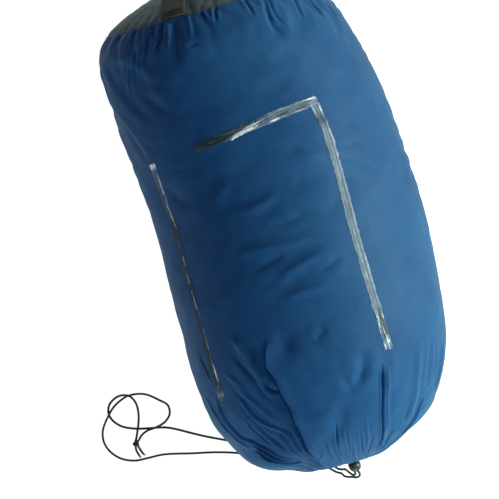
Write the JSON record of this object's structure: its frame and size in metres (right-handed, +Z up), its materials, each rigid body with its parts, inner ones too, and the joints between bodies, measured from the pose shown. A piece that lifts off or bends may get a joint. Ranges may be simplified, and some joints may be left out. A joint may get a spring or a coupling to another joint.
{
  "type": "bivy sack in stuff sack",
  "caption": "Bivy sack packed in a blue nylon stuff sack lying on its side, with a grey domed end, webbing grab handle, gathered drawcord mouth and spring cord lock.",
  "frame": {"origin": "on the floor, under the middle of the packed sack (its loose cord left out)", "axes": "+Z up, the drawcord mouth faces -Y, the grey end panel with its handle faces +Y, +X to the right seen from above"},
  "size_m": [0.3812, 0.5392, 0.2252],
  "materials": {
    "blue_nylon": "smooth coated nylon taffeta with a soft sheen",
    "grey_nylon": "smooth coated nylon, grey-olive",
    "binding_tape": "woven tape",
    "thread": "polyester thread",
    "drawcord": "braided cord",
    "lock_plastic": "moulded acetal, lightly polished",
    "button_plastic": "moulded acetal",
    "spring_wire": "bright spring wire",
    "webbing": "flat woven webbing",
    "adhesive_residue": "streaky dried adhesive, part rubbed off",
    "bivy_floor_fabric": "coated floor fabric",
    "bivy_upper_fabric": "breathable shell fabric",
    "zip_tape": "zip tape and coil"
  },
  "bodies": {
    "root": {"sack_body": "blue_nylon", "end_panel": "grey_nylon", "end_seam_binding": "binding_tape", "side_seam": "blue_nylon", "cord_channel": "blue_nylon", "buttonhole_rim": "thread", "drawcord_loop": "drawcord", "drawcord_neck": "drawcord", "drawcord_lead_a": "drawcord", "drawcord_lead_b": "drawcord", "drawcord_strand_a": "drawcord", "drawcord_strand_b": "drawcord", "drawcord_knot": "drawcord", "drawcord_tails": "drawcord", "handle_ends": "webbing", "handle_bartacks": "thread", "tape_residue_top": "adhesive_residue", "tape_residue_right": "adhesive_residue", "tape_residue_left": "adhesive_residue", "bivy_floor": "bivy_floor_fabric", "bivy_upper": "bivy_upper_fabric", "bivy_outer_folds": "bivy_upper_fabric", "bivy_zipper": "zip_tape", "bivy_zip_slider": "spring_wire"},
    "cord_lock": {"lock_barrel": "lock_plastic", "lock_spring": "spring_wire"},
    "lock_button": {"lock_plunger": "button_plastic"},
    "handle": {"handle_strap": "webbing"}
  },
  "joints": [
    {"name": "lock_slide", "type": "slide", "parent": "root", "child": "cord_lock", "axis": [0, -1, 0], "range_m": [0, 0.03], "deforming": ["drawcord_neck", "drawcord_lead_a", "drawcord_lead_b"]},
    {"name": "lock_button", "type": "slide", "parent": "cord_lock", "child": "lock_button", "axis": [0, 0, 1], "range_m": [0, 0.0035], "stiffness_N_per_m": 800, "springref_m": -0.0015, "deforming": ["lock_spring"]},
    {"name": "handle_swing", "type": "hinge", "parent": "root", "child": "handle", "pos_m": [-0.019, 0.219, 0.108], "axis": [-0.309, -0.1094, 0.9447], "range_deg": [-30, 30], "deforming": ["handle_ends"]}
  ]
}
